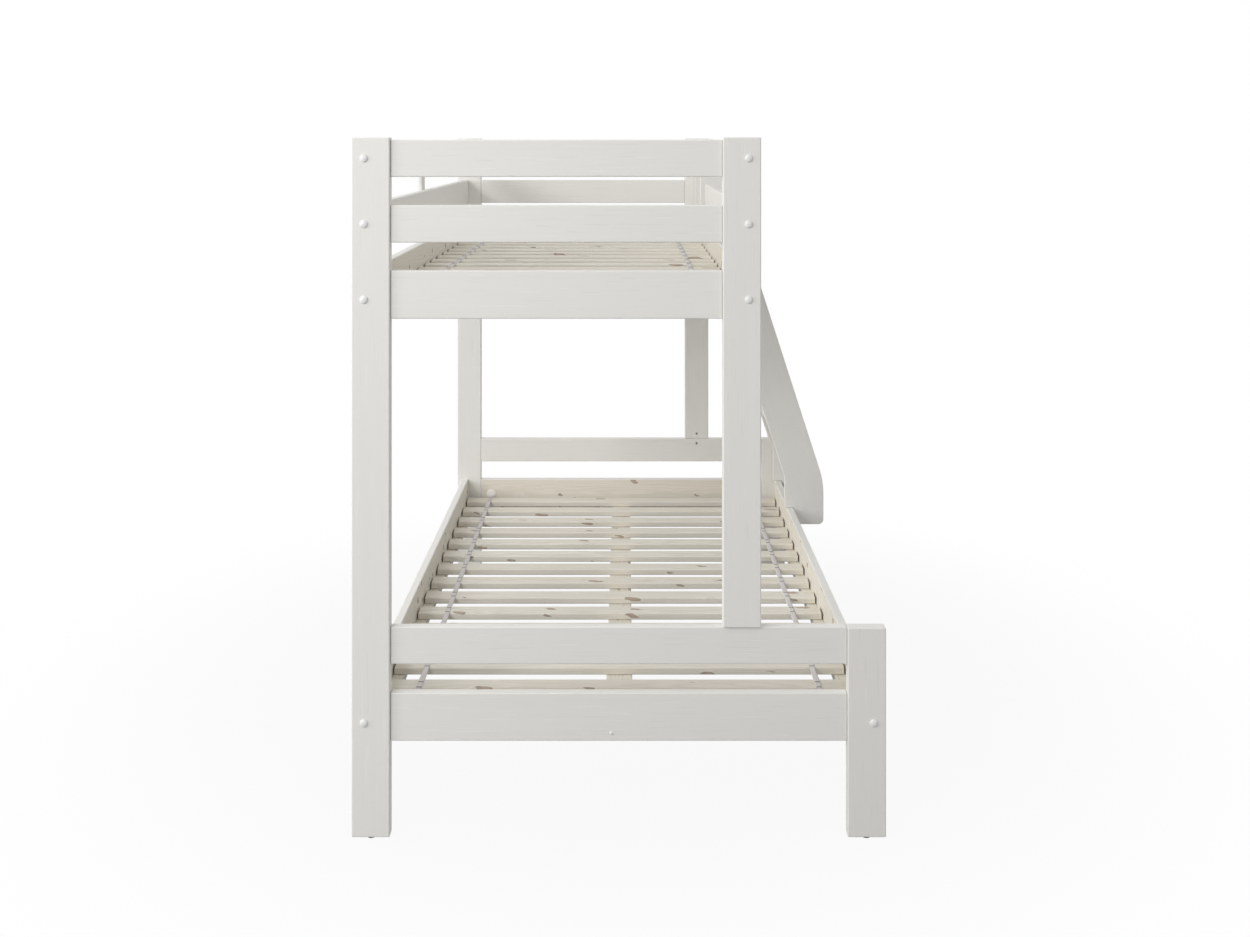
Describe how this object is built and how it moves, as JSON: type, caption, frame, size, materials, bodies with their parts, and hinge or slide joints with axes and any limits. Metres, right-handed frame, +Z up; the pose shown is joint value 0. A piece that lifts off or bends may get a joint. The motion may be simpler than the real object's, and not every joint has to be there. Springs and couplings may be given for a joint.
{
  "type": "triple bunk bed",
  "caption": "Bunk bed in white lacquered pine: wide lower bed, narrower upper bed with guard boards, slatted bases and a slanting hook-on ladder.",
  "frame": {"origin": "on the floor, under the middle of the bed's outer box, with the ladder in it", "axes": "+Z up, +Y along the beds from the front end to the end with the ladder, +X from the closed side to the ladder side"},
  "size_m": [1.3752, 2.0746, 1.685],
  "materials": {
    "white_lacquer": "satin white lacquer that lets faint grain through",
    "whitewashed_pine": "matt whitewashed pine with small brown knots",
    "capped_bolt": "steel bolt under a white domed cap",
    "zinc_steel": "zinc-plated steel",
    "glide_plastic": "dark grey plastic"
  },
  "bodies": {
    "bed_frame": {"post_left_front": "white_lacquer", "post_lower_right_front": "white_lacquer", "post_upper_right_front": "white_lacquer", "top_guard_front": "white_lacquer", "middle_guard_front": "white_lacquer", "middle_rail_front": "white_lacquer", "bed_end_rail_upper_front": "white_lacquer", "bed_end_rail_lower_front": "white_lacquer", "post_left_back": "white_lacquer", "post_lower_right_back": "white_lacquer", "post_upper_right_back": "white_lacquer", "top_guard_back": "white_lacquer", "middle_guard_back": "white_lacquer", "middle_rail_back": "white_lacquer", "bed_end_rail_upper_back": "white_lacquer", "bed_end_rail_lower_back": "white_lacquer", "side_rail_lower_left": "white_lacquer", "side_rail_upper_left": "white_lacquer", "top_guard_left": "white_lacquer", "middle_guard_left": "white_lacquer", "guard_batten_left": "white_lacquer", "side_rail_lower_right": "white_lacquer", "side_rail_upper_right": "white_lacquer", "top_guard_right": "white_lacquer", "middle_guard_right": "white_lacquer", "guard_batten_right": "white_lacquer", "slat_roll_lower": "whitewashed_pine", "slat_roll_upper": "whitewashed_pine", "centre_beam": "whitewashed_pine", "ledger_lower_left": "whitewashed_pine", "ledger_lower_right": "whitewashed_pine", "ledger_upper_left": "whitewashed_pine", "ledger_upper_right": "whitewashed_pine", "bolt_top_guard_left_front": "capped_bolt", "bolt_top_guard_left_back": "capped_bolt", "bolt_middle_guard_left_front": "capped_bolt", "bolt_middle_guard_left_back": "capped_bolt", "bolt_side_rail_upper_left_front": "capped_bolt", "bolt_side_rail_upper_left_back": "capped_bolt", "bolt_side_rail_lower_left_front": "capped_bolt", "bolt_side_rail_lower_left_back": "capped_bolt", "bolt_side_rail_upper_right_front": "capped_bolt", "bolt_side_rail_upper_right_back": "capped_bolt", "bolt_side_rail_lower_right_front": "capped_bolt", "bolt_side_rail_lower_right_back": "capped_bolt", "bolt_top_guard_right_front": "capped_bolt", "bolt_middle_guard_right_front": "capped_bolt", "beam_screw_front": "capped_bolt", "connector_pin_front": "zinc_steel", "connector_pin_back": "zinc_steel", "glide_left_front": "glide_plastic", "glide_left_back": "glide_plastic", "glide_right_front": "glide_plastic", "glide_right_back": "glide_plastic"},
    "ladder": {"ladder_stringer_front": "white_lacquer", "ladder_stringer_back": "white_lacquer", "ladder_tread_1": "white_lacquer", "ladder_tread_2": "white_lacquer", "ladder_tread_3": "white_lacquer", "ladder_tread_4": "white_lacquer"}
  },
  "joints": [
    {"name": "ladder_lift", "type": "slide", "parent": "bed_frame", "child": "ladder", "axis": [0, 0, 1], "range_m": [0, 0.08]}
  ]
}
